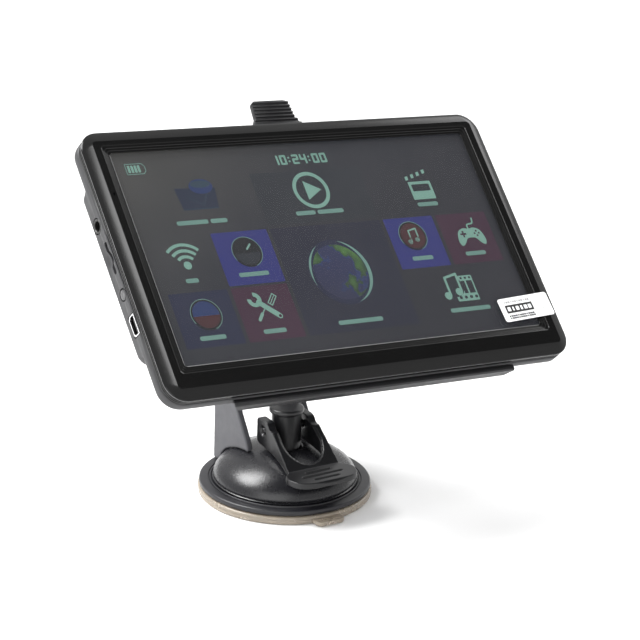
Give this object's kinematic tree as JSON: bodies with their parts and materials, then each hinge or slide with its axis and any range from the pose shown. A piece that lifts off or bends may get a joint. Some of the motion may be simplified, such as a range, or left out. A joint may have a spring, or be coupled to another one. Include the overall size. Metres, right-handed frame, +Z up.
{
  "type": "portable gps navigator",
  "caption": "Portable navigator with a wide touch screen, held in a cradle on a ball joint, with an arm rising from a suction mount worked by a lever.",
  "frame": {"origin": "centre of the suction pad's underside", "axes": "+Z up out of the surface the pad sits on, -Y to the side of the lever's thumb tab and the screen, +X to the display's right"},
  "size_m": [0.1778, 0.1009, 0.1487],
  "materials": {
    "pad_tpu": "satin",
    "mount_plastic": "satin",
    "stem_plastic": "satin",
    "lever_plastic": "satin",
    "arm_plastic": "satin",
    "joint_plastic": "satin",
    "nylon": "matte",
    "cradle_plastic": "satin",
    "bezel_plastic": "satin gloss",
    "rear_plastic": "fine texture",
    "screen_glass": "polished",
    "lcd_glass": "polished",
    "label_film": "printed film",
    "button_plastic": "satin",
    "port_plastic": "satin",
    "port_steel": "bright plated",
    "screw_steel": "zinc plated",
    "sheet_steel": "tinned",
    "board": "solder mask",
    "chip_epoxy": "matte",
    "ceramic": "fired ceramic",
    "battery_foil": "foil",
    "ribbon_film": "amber film"
  },
  "bodies": {
    "base": {"suction_pad": "pad_tpu", "base_flange": "mount_plastic", "dome_cover": "mount_plastic", "return_spring": "screw_steel", "arm_yoke": "arm_plastic", "arm_screw_left": "screw_steel", "arm_screw_right": "screw_steel", "socket_cup": "joint_plastic", "socket_screw": "screw_steel"},
    "stem": {"stem": "stem_plastic", "lever_pin": "screw_steel"},
    "lever": {"lever": "lever_plastic"},
    "nut": {"lock_nut": "joint_plastic"},
    "swivel": {"socket_liner": "nylon"},
    "pan": {"pivot_core": "screw_steel"},
    "display": {"ball_stud": "joint_plastic", "stud_screw_1": "screw_steel", "stud_screw_2": "screw_steel", "stud_screw_3": "screw_steel", "stud_screw_4": "screw_steel", "cradle_plate": "cradle_plastic", "front_bezel": "bezel_plastic", "rear_cover": "rear_plastic", "case_screw_1": "screw_steel", "case_screw_2": "screw_steel", "case_screw_3": "screw_steel", "case_screw_4": "screw_steel", "touch_panel": "screen_glass", "lcd_panel": "lcd_glass", "lcd_tray": "sheet_steel", "lcd_ribbon": "ribbon_film", "main_pcb": "board", "processor": "chip_epoxy", "rf_shield": "sheet_steel", "gps_antenna": "ceramic", "battery": "battery_foil", "speaker": "port_plastic", "microphone": "sheet_steel", "headphone_jack": "port_plastic", "card_socket": "port_steel", "usb_shell": "port_steel", "usb_tongue": "port_plastic", "tact_switch": "port_plastic", "film_label": "label_film"},
    "latch": {"latch_tab": "cradle_plastic"},
    "button": {"power_button": "button_plastic"}
  },
  "joints": [
    {"name": "stem_lift", "type": "slide", "parent": "base", "child": "stem", "axis": [0, 0, 1], "range_m": [-0.0015, 0]},
    {"name": "lever_open", "type": "hinge", "parent": "stem", "child": "lever", "pos_m": [0, 0, 0.0262], "axis": [-1, 0, 0], "range_deg": [0, 75]},
    {"name": "nut_turn", "type": "hinge", "parent": "base", "child": "nut", "pos_m": [0, -0.0034, 0.0854], "axis": [0, -0.6947, 0.7193], "range_deg": [0, 90]},
    {"name": "ball_swivel", "type": "hinge", "parent": "base", "child": "swivel", "pos_m": [0, -0.0034, 0.0854], "axis": [0, -0.6947, 0.7193], "range_deg": [-90, 90]},
    {"name": "ball_pan", "type": "hinge", "parent": "swivel", "child": "pan", "pos_m": [0, -0.0034, 0.0854], "axis": [0.021, 0.7198, 0.6938], "range_deg": [-15, 15]},
    {"name": "ball_tilt", "type": "hinge", "parent": "pan", "child": "display", "pos_m": [0, -0.0034, 0.0854], "axis": [0.9962, 0.0435, -0.0753], "range_deg": [-15, 15]},
    {"name": "latch_flex", "type": "hinge", "parent": "display", "child": "latch", "pos_m": [0.00192, 0.00256, 0.11426], "axis": [-0.9962, -0.0435, 0.0753], "range_deg": [0, 8], "stiffness_Nm_per_rad": 0.4, "springref_deg": -1.15},
    {"name": "button_press", "type": "slide", "parent": "display", "child": "button", "axis": [0.9962, 0.0435, -0.0753], "range_m": [0, 0.0005], "stiffness_N_per_m": 1500, "springref_m": -0.0004}
  ],
  "couplings": [
    {"joint": "lever_open", "follows": "stem_lift", "rad_per_m": -872.66}
  ]
}
